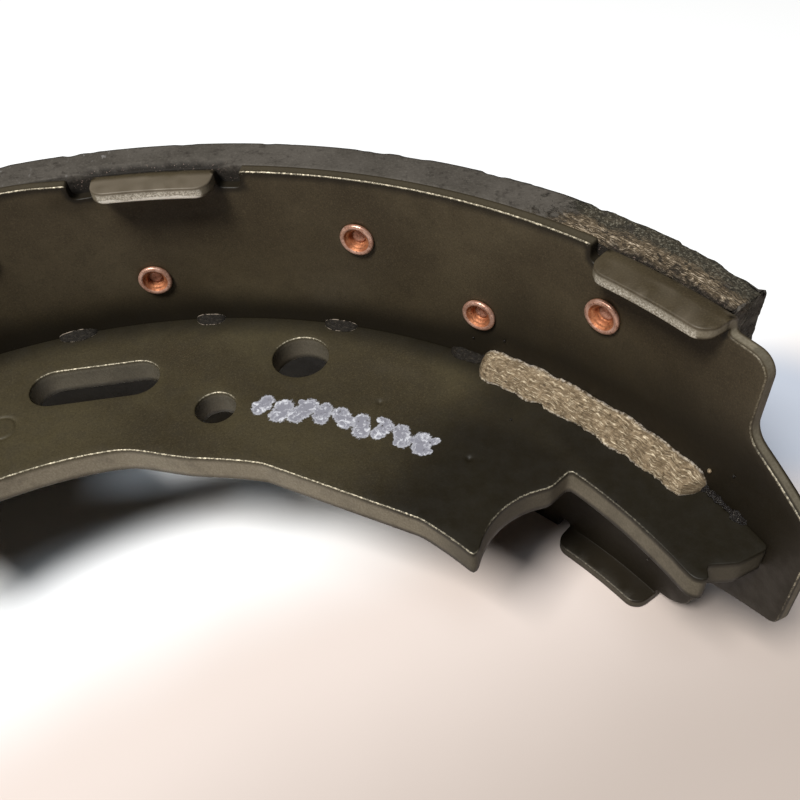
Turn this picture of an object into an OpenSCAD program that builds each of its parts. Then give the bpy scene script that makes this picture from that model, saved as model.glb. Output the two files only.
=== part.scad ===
// Riveted drum brake shoe for a light truck, lying on its side.
// The drum's axis is parallel to Z. The origin is the middle of the footprint, on the ground.
// Angles are measured about the drum's axis from the crown of the shoe, clockwise from above.

/* [Shoe] */
// Radius of the drum face that the lining bears on
lining_r = 160; // [158:1:165]
// Thickness of the friction lining
lining_t = 10; // [9:0.5:12]
// Thickness of the curved steel table
table_t = 3; // [2.5:0.5:4]
// Width of the shoe across the lining
shoe_w = 100; // [96:1:120]

/* [Arc lengths] */
// Half angle of the friction lining
lining_deg = 54.5; // [54:0.5:56]
// Half angle of the table where it has its full width
table_deg = 59; // [58.5:0.5:60.5]
// Half angle at the tips of the table's tongues
tongue_deg = 67.5; // [66:0.5:69]
// Half angle of the web plate
web_deg = 64.2; // [63.4:0.2:66]

/* [Table] */
// Width of a tongue where it leaves the table
tongue_root_w = 50.5; // [44:0.5:60]
// Width of a tongue at its tip
tongue_tip_w = 31; // [24:1:40]
// Radius of the rounded upper corners at the table's ends
table_corner_r = 4.5; // [2:0.5:6]
// Radius of the rounded lower corners at the table's ends
lower_corner_r = 10; // [2:0.5:10]
// Radius of the rounded corners of a tongue
tongue_corner_r = 4; // [2:0.5:5]
// Radius of the rounded inner corners of a tab
tab_corner_r = 4; // [1:0.5:5]
// Length of the middle tabs along the rim
middle_tab_len = 30.5; // [26:0.5:34]
// Length of the outer tabs along the rim
outer_tab_len = 30.5; // [28:0.5:33]
// Angle from the crown to the outer tabs
tab_spacing_deg = 49.2; // [47:0.2:49.2]
// Distance that a tab reaches in from the table
tab_reach = 7; // [6:0.5:10]
// Width of the slope on the outside of a tab's fold
fold_w = 2.5; // [1:0.25:3]
// Width of the relief notches beside a middle tab
middle_relief_w = 6; // [3:0.5:7]
// Width of the relief notches beside an outer tab
outer_relief_w = 3.5; // [2:0.5:5]
// Depth of the relief notches, and of the table's trimmed edge beyond each outer tab
relief_depth = 4.5; // [4:0.5:7]

/* [Web] */
// Thickness of the web plate
web_t = 7.5; // [6:0.5:9]
// Radius of the inner edge on the narrow half of the web
narrow_edge_r = 101; // [99:0.5:103]
// Radius of the inner edge on the deep half of the web
deep_edge_r = 96.5; // [95:0.5:98]
// Diameter of the large hole
large_hole_d = 15; // [12:0.5:16]
// Diameter of the small hole
small_hole_d = 10.5; // [8:0.5:12]
// Overall length of the slot
slot_len = 34; // [28:0.5:38]
// Width of the slot
slot_w = 12.5; // [9:0.5:13]
// Radius of the round pocket beside each hook
pocket_r = 20.3; // [18:0.1:21]
// Radius of the bearing edge beyond the pocket
bearing_edge_r = 128.5; // [126:0.5:130]
// Depth of the step in each end of the web
end_step = 3.3; // [1:0.1:5]

/* [Rivets] */
// Diameter of a rivet's shank
shank_d = 6; // [5:0.5:7]
// Diameter of a rivet's head in the lining
head_d = 10; // [8:0.5:12]
// Diameter of the rolled end on the table
rolled_d = 8.8; // [8:0.1:10]
// Diameter of the hollow in the rolled end
hollow_d = 4.2; // [3:0.1:4.4]
// Distance of the inner rivet rows from the middle of the shoe
inner_row = 18.5; // [17:0.5:24]
// Distance of the outer rivet rows from the middle of the shoe
outer_row = 33.3; // [30:0.1:36]
// Angle from one rivet to the next in a group of three
rivet_pitch_deg = 12.5; // [11:0.1:12.6]
// Angle from the crown to the last rivet
last_rivet_deg = 44; // [43:0.1:45]
// Angle from the crown to the lone rivet between the groups
lone_rivet_deg = -3; // [-5:0.5:5]

/* [Welds] */
// Leg of the long fillet welds on the web
bead_web_leg = 8; // [4:0.5:9]
// Leg of the long fillet welds on the table
bead_table_leg = 5; // [3:0.5:7]
// Angle at which a long fillet weld starts
bead_from_deg = 32.6; // [32.6:0.1:36]
// Angle at which a long fillet weld ends
bead_to_deg = 57; // [50:0.2:58]
// Angle from one spot weld to the next
spot_pitch_deg = 14.4; // [13:0.1:14.5]

/* [Hidden] */
$fn = 96;
SIDES = ["upper", "lower"];
ENDS = ["right", "left"];
table_outer_r = lining_r - lining_t;
table_inner_r = table_outer_r - table_t;
// The drum's axis lies this far from the middle of the footprint.
axis_y = -(lining_r + table_inner_r * cos(tongue_deg)) / 2;
mid_z = shoe_w / 2;
web_face = web_t / 2;
far = 2 * lining_r;
cut = 1;

// Each tab's angle from the crown, its length and the width of its notches
TABS = [
    [-tab_spacing_deg, outer_tab_len, outer_relief_w],
    [0, middle_tab_len, middle_relief_w],
    [tab_spacing_deg, outer_tab_len, outer_relief_w]
];
corner_over = 0.1;
function rim_deg(len) = len / 2 / table_outer_r * 180 / PI;

// Six rivets stand in two groups of three, and the seventh between them.
rivet_degs = [
    for (i = [0 : 2]) i * rivet_pitch_deg - last_rivet_deg,
    lone_rivet_deg,
    for (i = [0 : 2]) last_rivet_deg - (2 - i) * rivet_pitch_deg
];
rivet_count = len(rivet_degs);
// The rivets zigzag between the rows. The lower side's right group starts from the other row.
function row_of(side, i) = (i + (side == "lower" && i > 3 ? 1 : 0)) % 2 == 0 ? outer_row : inner_row;
head_t = 1.4;
head_recess_d = head_d + 1;
// Lining left under a rivet's head
seat_t = 3.5;
rolled_t = 1.1;
hollow_depth = 6;
// The table's curve rises by this much across the rolled end.
rolled_gap = rolled_d * rolled_d / 8 / table_inner_r + 0.01;

spot_count = 5;
spot_mid_deg = 1.6;
spot_web_leg = 3;
spot_table_leg = 2.2;
spot_cut_r = 6;
function spot_deg(i) = spot_mid_deg + (i - 3) * spot_pitch_deg;

large_hole_at = [132.7, 13.1];
small_hole_at = [113, 4.9];
slot_at = [126, -10.8];
slot_tilt_deg = -4.5;
stamp_at = [117.8, -22];
stamp_outer_r = 4.2;
stamp_inner_r = 3.3;
stamp_depth = 0.4;
pocket_at = [111, 56];
bearing_from_deg = 47.4;
end_step_r = 131.5;
web_corner_r = 3;
step_from_deg = -6;
step_to_deg = 3;
// The waste under the slope is wide enough to overlap the waste beside it.
slope_base = 20;
chord_from_deg = 14;
chord_to_deg = 38.5;

function on_arc(r, deg) = [r * sin(deg), r * cos(deg)];
function side_sign(side) = side == "upper" ? 1 : -1;
function end_sign(end) = end == "right" ? 1 : -1;

// Moves a shape drawn about the drum's axis and the middle of the shoe into the part's frame.
module in_place() {
    translate([0, axis_y, mid_z]) children();
}

// Turns a shape drawn over the crown to an angle.
module swing(deg) {
    rotate([0, 0, -deg]) children();
}

// Stands a shape drawn along Z so that Z points away from the drum's axis.
module radial(deg, z) {
    swing(deg) translate([0, 0, z]) rotate([-90, 0, 0]) children();
}

// Sweeps a section, drawn with its radius along X and height along Y, between two angles.
module ring(from_deg, to_deg) {
    rotate([0, 0, 90 - to_deg]) rotate_extrude(angle = to_deg - from_deg, $fn = 360) children();
}

// Flat wedge between two angles less than a half turn apart
module wedge(from_deg, to_deg) {
    middle = on_arc(far, (from_deg + to_deg) / 2);
    polygon([[0, 0], on_arc(far, from_deg), middle * 2, on_arc(far, to_deg)]);
}

// What a rounded corner takes away from a square one at the origin. With over above 0
// the arc meets the corner's sides at a slight angle.
module corner_waste(r, over = 0) {
    difference() {
        translate([-cut, -cut]) square(r + cut);
        translate([r, r]) circle(r + over);
    }
}

// Repeats a shape for every tab on the upper and the lower edge.
module on_both_edges() {
    for (side = SIDES, $tab = TABS)
        mirror([0, 0, side_sign(side) < 0 ? 1 : 0]) children();
}

module inner_opening() {
    chord_deg = (chord_from_deg + chord_to_deg) / 2;
    chord_y = deep_edge_r * cos((chord_to_deg - chord_from_deg) / 2);
    // The deep half's edge is an arc with one straight stretch.
    intersection() {
        circle(deep_edge_r, $fn = 360);
        swing(chord_deg) translate([-far, -far]) square([2 * far, far + chord_y]);
    }
    intersection() {
        circle(narrow_edge_r, $fn = 360);
        wedge(-175, step_from_deg);
    }
    // A short slope joins the two halves.
    polygon([
        [-slope_base, 0], on_arc(narrow_edge_r, step_from_deg),
        on_arc(deep_edge_r, step_to_deg), [slope_base, 0]
    ]);
}

// Waste beyond the hook, drawn for the right end
module hook_waste() {
    intersection() {
        circle(bearing_edge_r, $fn = 360);
        union() {
            translate(on_arc(pocket_at[0], pocket_at[1])) circle(pocket_r);
            wedge(bearing_from_deg, web_deg + 20);
        }
    }
    swing(web_deg) translate([0, bearing_edge_r]) rotate(90) corner_waste(web_corner_r);
    // Step in the end, beyond the bearing edge
    step_at = on_arc(end_step_r, web_deg);
    translate([step_at[0], -far]) square([far, far + step_at[1] + end_step]);
}

module slot() {
    straight = slot_len - slot_w;
    square([straight, slot_w], center = true);
    for (x = [-straight, straight] / 2)
        translate([x, 0]) circle(d = slot_w);
}

module web_outline() {
    difference() {
        intersection() {
            circle(table_inner_r, $fn = 360);
            wedge(-web_deg, web_deg);
        }
        inner_opening();
        hook_waste();
        mirror([1, 0]) hook_waste();
        translate(on_arc(large_hole_at[0], large_hole_at[1])) circle(d = large_hole_d);
        translate(on_arc(small_hole_at[0], small_hole_at[1])) circle(d = small_hole_d);
        translate(on_arc(slot_at[0], slot_at[1])) rotate(slot_tilt_deg - slot_at[1]) slot();
    }
}

module web_plate() {
    color([0.27, 0.25, 0.21])
    in_place()
    difference() {
        linear_extrude(web_t, center = true) web_outline();
        // Stamped ring
        translate(on_arc(stamp_at[0], stamp_at[1]))
        translate([0, 0, web_face - stamp_depth])
        linear_extrude(web_t) difference() {
            circle(stamp_outer_r);
            circle(stamp_inner_r);
        }
    }
}

// The table's right end laid flat: X runs along the rim from where the full width ends
module table_end_blank() {
    tip_x = table_inner_r * sin(tongue_deg - table_deg);
    root = tongue_root_w / 2;
    tip = tongue_tip_w / 2;
    offset(r = -tongue_corner_r) offset(r = 2 * tongue_corner_r) offset(delta = -tongue_corner_r)
    union() {
        translate([-far, -far]) square([far, 2 * far]);
        polygon([[-cut, -root], [0, -root], [tip_x, -tip], [tip_x, tip], [0, root], [-cut, root]]);
    }
}

// Cuts the right end of a ring to the blank's shape.
module table_end_waste() {
    swing(table_deg)
    rotate([-90, 0, 0])
    translate([0, 0, table_inner_r * 0.8])
    linear_extrude(far) {
        difference() {
            translate([0, -shoe_w]) square([far, 2 * shoe_w]);
            table_end_blank($fn = 32);
        }
        for (s = [-1, 1])
            mirror([0, s > 0 ? 1 : 0])
            translate([0, relief_depth - shoe_w / 2])
            rotate(90) corner_waste(s > 0 ? lower_corner_r : table_corner_r, corner_over);
    }
}

// Section of the rim's edge that the relief takes away
module relief_section() {
    translate([table_inner_r - tab_reach - cut, shoe_w / 2 - relief_depth])
        square([tab_reach + table_t + 2 * cut, relief_depth + cut]);
}

// Flange folded in from the table's upper edge, a little longer than the finished tab
module tab_flange(tab) {
    half_deg = rim_deg(tab[1] + tab[2]);
    ring(tab[0] - half_deg, tab[0] + half_deg)
        translate([table_inner_r - tab_reach, shoe_w / 2 - table_t])
        square([tab_reach + table_t / 2, table_t]);
}

// What is cut away around a tab on the upper edge
module tab_waste(tab) {
    half_w = shoe_w / 2;
    tip_r = table_inner_r - tab_reach;
    half_deg = rim_deg(tab[1]);
    notch_deg = rim_deg(tab[1] + 2 * tab[2]);
    fold_deg = rim_deg(tab[1] + tab[2]);
    // Relief notches, which run on to the table's ends beyond the outer tabs
    ring(tab[0] < 0 ? -tongue_deg - 2 : tab[0] - notch_deg, tab[0] - half_deg) relief_section();
    ring(tab[0] + half_deg, tab[0] > 0 ? tongue_deg + 2 : tab[0] + notch_deg) relief_section();
    // Outside of the fold
    ring(tab[0] - fold_deg, tab[0] + fold_deg)
        polygon([
            [table_outer_r + cut, half_w - fold_w - cut], [table_outer_r + cut, half_w + cut],
            [table_outer_r - fold_w - cut, half_w + cut]
        ]);
    // Rounded inner corners
    for (s = [-1, 1])
        swing(tab[0] + s * half_deg)
        translate([0, tip_r, half_w - table_t - cut])
        mirror([s > 0 ? 1 : 0, 0])
        linear_extrude(shoe_w) corner_waste(tab_corner_r, corner_over);
}

// Stands a shape at every rivet, with Z pointing away from the drum's axis.
module at_rivets() {
    for (side = SIDES, i = [0 : rivet_count - 1])
        radial(rivet_degs[i], side_sign(side) * row_of(side, i)) children();
}

module shoe_table() {
    color([0.25, 0.23, 0.20])
    in_place()
    difference() {
        union() {
            ring(-tongue_deg - 1, tongue_deg + 1)
                translate([table_inner_r, -shoe_w / 2]) square([table_t, shoe_w]);
            on_both_edges() tab_flange($tab);
        }
        on_both_edges() tab_waste($tab);
        for (end = ENDS)
            mirror([end_sign(end) < 0 ? 1 : 0, 0, 0]) table_end_waste();
        at_rivets() cylinder(d = shank_d, h = far);
    }
}

module friction_lining() {
    color([0.36, 0.34, 0.32])
    in_place()
    difference() {
        ring(-lining_deg, lining_deg)
            translate([table_outer_r, -shoe_w / 2]) square([lining_t, shoe_w]);
        at_rivets() cylinder(d = shank_d, h = far);
        // Recesses for the rivets' heads
        at_rivets() translate([0, 0, table_outer_r + seat_t]) cylinder(d = head_recess_d, h = far);
    }
}

// Rivet with its head in the lining and its hollow end rolled over on the table
module rivet(side, i) {
    end_z = table_inner_r - rolled_gap - rolled_t;
    seat_z = table_outer_r + seat_t;
    color([0.80, 0.50, 0.36])
    in_place()
    radial(rivet_degs[i - 1], side_sign(side) * row_of(side, i - 1))
    difference() {
        union() {
            translate([0, 0, end_z]) cylinder(d = shank_d, h = seat_z - end_z + head_t / 2);
            translate([0, 0, seat_z]) cylinder(d = head_d, h = head_t);
            translate([0, 0, end_z]) rolled_end();
        }
        translate([0, 0, end_z - cut]) cylinder(d = hollow_d, h = hollow_depth + cut);
    }
}

// Rounded collar of a rolled end, from its free face up
module rolled_end() {
    rotate_extrude()
    difference() {
        square([rolled_d / 2, rolled_t]);
        translate([rolled_d / 2, 0]) rotate(90) corner_waste(rolled_t * 0.8);
    }
}

// Corner section between the web's face and the table's inner face
module fillet_section(web_leg, table_leg) {
    polygon([
        [table_inner_r, web_face],
        [table_inner_r, web_face + table_leg],
        [table_inner_r - web_leg * 0.4, web_face + table_leg * 0.72],
        [table_inner_r - web_leg, web_face]
    ]);
}

module fillet_weld(side, end) {
    color([0.62, 0.56, 0.45])
    in_place()
    mirror([0, 0, side_sign(side) < 0 ? 1 : 0])
    mirror([end_sign(end) < 0 ? 1 : 0, 0, 0])
    ring(bead_from_deg, bead_to_deg) fillet_section(bead_web_leg, bead_table_leg);
}

module spot_weld(side, i) {
    color([0.38, 0.35, 0.31])
    in_place()
    mirror([0, 0, side_sign(side) < 0 ? 1 : 0])
    intersection() {
        ring(spot_deg(i) - 4, spot_deg(i) + 4) fillet_section(spot_web_leg, spot_table_leg);
        swing(spot_deg(i)) translate([0, table_inner_r + spot_web_leg, 0])
            cylinder(r = spot_cut_r, h = shoe_w);
    }
}

web_plate();
shoe_table();
friction_lining();
for (side = SIDES, i = [1 : rivet_count])
    rivet(side, i);
for (side = SIDES, end = ENDS)
    fillet_weld(side, end);
for (side = SIDES, i = [1 : spot_count])
    spot_weld(side, i);
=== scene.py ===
"""Drum brake shoe lying on its side: the visual model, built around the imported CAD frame.

Sizes below are millimetres and degrees. Angles run about the drum's axis from the shoe's crown,
clockwise from above. Shoe space has its origin on the drum's axis, at the middle of the shoe's
width. The frame is in metres.
"""

import math

import bmesh
import bpy
import numpy as np
from mathutils import Matrix, Vector
from mathutils.geometry import delaunay_2d_cdt
from mathutils.kdtree import KDTree


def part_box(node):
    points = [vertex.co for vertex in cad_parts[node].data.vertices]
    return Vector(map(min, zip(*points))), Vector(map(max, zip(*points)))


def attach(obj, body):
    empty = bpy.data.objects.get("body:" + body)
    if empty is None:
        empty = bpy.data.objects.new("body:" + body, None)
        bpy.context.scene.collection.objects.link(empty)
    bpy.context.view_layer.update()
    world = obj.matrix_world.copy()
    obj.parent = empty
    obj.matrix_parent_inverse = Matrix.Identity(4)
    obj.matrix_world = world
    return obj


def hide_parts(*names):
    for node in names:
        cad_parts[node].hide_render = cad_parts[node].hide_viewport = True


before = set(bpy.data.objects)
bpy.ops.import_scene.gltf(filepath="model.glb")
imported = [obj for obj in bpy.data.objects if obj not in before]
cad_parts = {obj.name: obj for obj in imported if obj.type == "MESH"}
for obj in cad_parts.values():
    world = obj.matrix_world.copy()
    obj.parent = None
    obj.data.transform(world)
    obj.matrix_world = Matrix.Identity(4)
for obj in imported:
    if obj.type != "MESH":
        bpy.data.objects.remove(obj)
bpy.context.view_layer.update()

# ---------------------------------------------------------------- driving dimensions
MM = 0.001
LINING_R = 160.0
LINING_T = 10.0
TABLE_T = 3.0
TABLE_OUT = LINING_R - LINING_T
TABLE_IN = TABLE_OUT - TABLE_T
HALF_W = 50.0
LINING_DEG = 54.5
TABLE_DEG = 59.0
TONGUE_DEG = 67.4
TONGUE_ROOT = 26.0
TONGUE_TIP = 15.5
# (angle, length, width of the notch beside it) of each tab
TABS = ((-49.2, 30.5, 3.5), (0.0, 30.5, 6.0), (49.2, 30.5, 3.5))
TAB_TIP_R = TABLE_IN - 7.0
RELIEF_Z = HALF_W - 4.5
UPPER_CORNER_R = 4.5
LOWER_CORNER_R = 10.0
TONGUE_CORNER_R = 4.0
TAB_CORNER_R = 4.0
# The tabs are folded in about this outer radius.
FOLD_R = 3.2
FOLD_FROM = HALF_W - FOLD_R
FOLD_MID = FOLD_R - TABLE_T / 2
FOLD_LEN = math.pi / 2 * FOLD_MID
TAB_END = FOLD_FROM + FOLD_LEN + (TABLE_OUT - FOLD_R - TAB_TIP_R)
# Length of one degree of the table's inner face
TABLE_ARC = math.radians(1) * TABLE_IN
WEB_T = 7.5
WEB_FACE = WEB_T / 2
RIVET_DEGS = (-44.0, -31.5, -19.0, -3.0, 19.0, 31.5, 44.0)
ROWS = (33.3, 18.5)
SIDES = (("upper", 1), ("lower", -1))
SHANK_R = 3.0
HEAD_R = 5.0
HEAD_T = 1.4
RECESS_R = 5.5
SEAT_T = 3.5
ROLLED_R = 4.4
HOLLOW_R = 2.1
BEAD_DEGS = (32.6, 57.0)
BEAD_LEGS = (7.0, 4.4)
SPOT_DEGS = tuple(1.6 + 14.4 * i for i in (-2, -1, 0, 1, 2))
# (radius, angle) of the stamped ring and the two dints in the web
STAMP = (117.8, -22.0)
STAMP_R = 3.75
STAMP_DEPTH = 0.35
STAMP_AREA = 60.0
DINTS = ((122.5, 24.6), (116.6, 38.0))
DINT_R = 0.75
DINT_DEPTH = 0.5
PAINT_R = 113.9
PAINT_DEGS = (10.9, 32.1)
PAINT_DABS = 9

LINING_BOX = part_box("friction_lining")
AXIS_Y = LINING_BOX[1].y / MM - LINING_R
MID_Z = (LINING_BOX[0].z + LINING_BOX[1].z) / 2 / MM
dice = np.random.default_rng(11)
# Square lamps: (way towards it, distance, side, power, colour), in metres and watts. The first
# lies as the photograph's shadows show.
LAMPS = {
    "lamp_front_left": ((-0.28, -0.35, 0.81), 3.0, 0.85, 128.0, (1.0, 0.975, 0.94)),
    "lamp_overhead": ((0.0, -0.31, 0.95), 1.249, 0.45, 4.2, (0.8, 0.9, 1.0)),
}
FILL = 0.015
FLOOR_HALF = 3.0
FLOOR_GAP = 0.0002


# ---------------------------------------------------------------- small tools
def on_arc(r, deg):
    """Point of shoe space at a radius and an angle."""
    a = math.radians(deg)
    return np.array((r * math.sin(a), r * math.cos(a)))


def rivet_places():
    """(name, angle, height) of each rivet. They zigzag, and the lower side's right group starts
    from the other row."""
    places = []
    for side, sign in SIDES:
        for i, deg in enumerate(RIVET_DEGS):
            row = i + (side == "lower" and i > 3)
            places.append((f"rivet_{side}_{i + 1}", deg, sign * ROWS[row % 2]))
    return places


def to_frame(points):
    """Shoe space in millimetres to the frame in metres."""
    return (np.asarray(points, float) + (0, AXIS_Y, MID_Z)) * MM


def lattice(cell, seed):
    """Repeatable value from 0 to 1 for each whole-number point."""
    n = cell[..., 0] * 73856093 ^ cell[..., 1] * 19349663 ^ cell[..., 2] * 83492791
    n = n ^ (seed * 668265263)
    n = (n ^ (n >> 13)) * 1274126177
    n = (n ^ (n >> 16)) * 668265263
    return ((n ^ (n >> 15)) & 0xFFFF) / 65535.0


def grain(points, size, seed=0, octaves=3):
    """Smooth noise from -1 to 1 with features of the given size."""
    total, weight, norm = 0.0, 1.0, 0.0
    for octave in range(octaves):
        p = np.asarray(points, float) / size * 2**octave
        cell = np.floor(p).astype(np.int64)
        f = p - cell
        f = f * f * (3 - 2 * f)
        value = 0.0
        for corner in range(8):
            step = np.array([corner & 1, corner >> 1 & 1, corner >> 2 & 1])
            share = np.prod(np.where(step, f, 1 - f), axis=-1)
            value = value + share * lattice(cell + step, seed + octave)
        total = total + weight * (2 * value - 1)
        norm += weight
        weight *= 0.55
    return total / norm


def smoothstep(low, high, x):
    t = np.clip((x - low) / (high - low), 0, 1)
    return t * t * (3 - 2 * t)


def hump(x, middle, width):
    """1 at the middle, falling to nearly 0 two widths away."""
    return np.exp(-(((x - middle) / width) ** 2))


def polar(xy):
    """Radii and angles of points of shoe space."""
    return np.hypot(xy[:, 0], xy[:, 1]), np.degrees(np.arctan2(xy[:, 0], xy[:, 1]))


def rounded(corners):
    """Closed loop through (x, y, radius) corners, with an arc at each."""
    points = []
    for i, (x, y, r) in enumerate(corners):
        here = np.array((x, y), float)
        before = np.array(corners[i - 1][:2], float) - here
        after = np.array(corners[(i + 1) % len(corners)][:2], float) - here
        before /= np.linalg.norm(before)
        after /= np.linalg.norm(after)
        turn = math.acos(float(np.clip(before @ after, -1, 1)))
        if r <= 0 or turn > math.pi - 0.02:
            points.append(here)
            continue
        reach = r / math.tan(turn / 2)
        middle = (before + after) / np.linalg.norm(before + after)
        centre = here + middle * r / math.sin(turn / 2)
        a, b = here + before * reach - centre, here + after * reach - centre
        sweep = math.atan2(a[0] * b[1] - a[1] * b[0], a @ b)
        for t in np.linspace(0, 1, 10):
            c, s = math.cos(sweep * t), math.sin(sweep * t)
            points.append(centre + (a[0] * c - a[1] * s, a[0] * s + a[1] * c))
    return np.array(points)


def resample(loop, step):
    """The same closed loop with evenly spaced points."""
    closed = np.vstack([loop, loop[:1]])
    lengths = np.linalg.norm(np.diff(closed, axis=0), axis=1)
    run = np.concatenate([[0], np.cumsum(lengths)])
    count = max(8, int(run[-1] / step))
    at = np.linspace(0, run[-1], count, endpoint=False)
    return np.stack([np.interp(at, run, closed[:, k]) for k in (0, 1)], 1)


def soften(loop, sigma):
    """Rounds a loop's small facets and corners, with sigma in points."""
    reach = int(3 * sigma) + 1
    weights = np.exp(-0.5 * (np.arange(-reach, reach + 1) / sigma) ** 2)
    weights /= weights.sum()
    return sum(w * np.roll(loop, k, 0) for k, w in zip(range(-reach, reach + 1), weights))


def loop_area(loop):
    x, y = loop[:, 0], loop[:, 1]
    return 0.5 * float(np.sum(x * np.roll(y, -1) - np.roll(x, -1) * y))


def turned(loop, anticlockwise):
    return loop if (loop_area(loop) > 0) == anticlockwise else loop[::-1]


def circle_loop(centre, radius, count):
    a = np.linspace(0, 2 * math.pi, count, endpoint=False)
    return np.stack([centre[0] + radius * np.cos(-a), centre[1] + radius * np.sin(-a)], 1)


def inward(loop):
    """Unit normals that point into the material, on the left of the loop's direction."""
    ahead = np.roll(loop, -1, 0) - np.roll(loop, 1, 0)
    ahead /= np.linalg.norm(ahead, axis=1, keepdims=True)
    return np.stack([-ahead[:, 1], ahead[:, 0]], 1)


def inside(points, loops):
    """True where a point is inside an odd number of the loops."""
    hit = np.zeros(len(points), bool)
    for loop in loops:
        a, b = loop, np.roll(loop, -1, 0)
        for start in range(0, len(points), 4000):
            p = points[start : start + 4000, None]
            spans = (a[:, 1] > p[..., 1]) != (b[:, 1] > p[..., 1])
            slope = (b[:, 0] - a[:, 0]) / np.where(b[:, 1] == a[:, 1], 1, b[:, 1] - a[:, 1])
            crossing = a[:, 0] + slope * (p[..., 1] - a[:, 1])
            hit[start : start + 4000] ^= (np.sum(spans & (p[..., 0] < crossing), 1) % 2).astype(bool)
    return hit


def nearest(points, targets):
    """Index of the target nearest to each point, and the distance to it."""
    tree = KDTree(len(targets))
    for i, t in enumerate(targets):
        tree.insert((t[0], t[1], 0), i)
    tree.balance()
    found = [tree.find((p[0], p[1], 0)) for p in points]
    return np.array([hit[1] for hit in found], int), np.array([hit[2] for hit in found])


def distance(points, targets):
    return nearest(points, targets)[1]


def fill_points(rings, step, dense=(), rows=None):
    """Points that fill the space between the rings, closer together in each (x, y, radius, step)
    of dense, and at every point of rows."""
    outline = np.vstack(rings)
    low, high = outline.min(0), outline.max(0)
    kept = np.zeros((0, 2))
    areas = [*dense, (*((low + high) / 2), float(np.max(high - low)), step)]
    for x, y, radius, gap in areas:
        nx = np.arange(x - radius, x + radius, gap)
        ny = np.arange(y - radius, y + radius, gap * 0.87)
        px, py = np.meshgrid(nx, ny)
        px[1::2] += gap / 2
        p = np.stack([px.ravel(), py.ravel()], 1)
        p = p + dice.uniform(-0.12, 0.12, p.shape) * gap
        p = p[np.hypot(p[:, 0] - x, p[:, 1] - y) < (radius if gap < step else 1e9)]
        for other in areas:
            if other[3] < gap:
                p = p[np.hypot(p[:, 0] - other[0], p[:, 1] - other[1]) > other[2] + gap / 2]
        p = p[(p > low).all(1) & (p < high).all(1)]
        p = p[inside(p, rings)]
        kept = np.vstack([kept, p])
    kept = kept[distance(kept, outline) > step * 0.45]
    if rows is not None:
        rows = rows[inside(rows, rings)]
        rows = rows[distance(rows, outline) > 0.5]
        kept = np.vstack([kept[distance(kept, rows) > step * 0.5], rows])
    return kept


def cap_faces(rings, filling):
    """Triangles, anticlockwise, over the rings' points followed by the filling's."""
    points = np.vstack([*rings, filling])
    edges, first = [], 0
    for ring in rings:
        count = len(ring)
        edges += [(first + i, first + (i + 1) % count) for i in range(count)]
        first += count
    out = delaunay_2d_cdt([Vector(p) for p in points], edges, [], 0, 1e-6)
    back = [ids[0] for ids in out[3]]
    triangles = np.array([[back[v] for v in face] for face in out[2]])
    centres = points[triangles].mean(1)
    triangles = triangles[inside(centres, rings)]
    a, b, c = (points[triangles[:, k]] for k in range(3))
    cross = (b[:, 0] - a[:, 0]) * (c[:, 1] - a[:, 1]) - (b[:, 1] - a[:, 1]) * (c[:, 0] - a[:, 0])
    triangles[cross < 0] = triangles[cross < 0][:, ::-1]
    return triangles


def edge_profile(depth, radius, arc_steps=4, wall_steps=4):
    """(distance in from the outline, depth, distance from the nearest edge, wall or not) of each
    ring down the side of a plate with rounded edges."""
    rings = []
    for a in np.linspace(0, math.pi / 2, arc_steps):
        far = radius * abs(a - math.pi / 4)
        rings.append((radius * (1 - math.sin(a)), radius * (1 - math.cos(a)), far, 0.0))
    low = [(o, depth - d, e, w) for o, d, e, w in reversed(rings)]
    height = depth - 2 * radius
    for k in range(1, wall_steps):
        t = k / wall_steps
        rings.append((0, radius + height * t, radius + height * min(t, 1 - t), 1.0))
    return rings + low


def plate(loops, step, dense=(), rows=None):
    """Solid plate between its top and low faces. Each loop is (points, profile), the outer one
    first. Returns flat coordinates (across, along, depth), faces, edge distances and wall marks."""
    flat, faces, edge_far, wall, top, low = [], [], [], [], [], []
    count = 0
    for loop, profile in loops:
        normals = inward(loop)
        size = len(loop)
        here, ahead = np.arange(size), np.roll(np.arange(size), -1)
        for k, (offset, depth, far, is_wall) in enumerate(profile):
            ring = loop + normals * offset
            flat.append(np.column_stack([ring, np.full(size, depth)]))
            edge_far.append(np.full(size, far))
            wall.append(np.full(size, is_wall))
            if k == 0:
                top.append((ring, count + here))
            else:
                quads = [count - size + here, count + here, count + ahead, count - size + ahead]
                faces += np.stack(quads, 1).tolist()
            count += size
        low.append((ring, count - size + here))
    for cap, height, flip in ((top, 0.0, False), (low, loops[0][1][-1][1], True)):
        rings = [ring for ring, _ in cap]
        filling = fill_points(rings, step, dense, rows)
        triangles = cap_faces(rings, filling)
        index = np.concatenate([*(ids for _, ids in cap), np.arange(count, count + len(filling))])
        triangles = index[triangles]
        faces += (triangles[:, ::-1] if flip else triangles).tolist()
        flat.append(np.column_stack([filling, np.full(len(filling), height)]))
        edge_far.append(distance(filling, np.vstack(rings)) + loops[0][1][0][2])
        wall.append(np.zeros(len(filling)))
        count += len(filling)
    return np.vstack(flat), faces, np.concatenate(edge_far), np.concatenate(wall)


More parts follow.
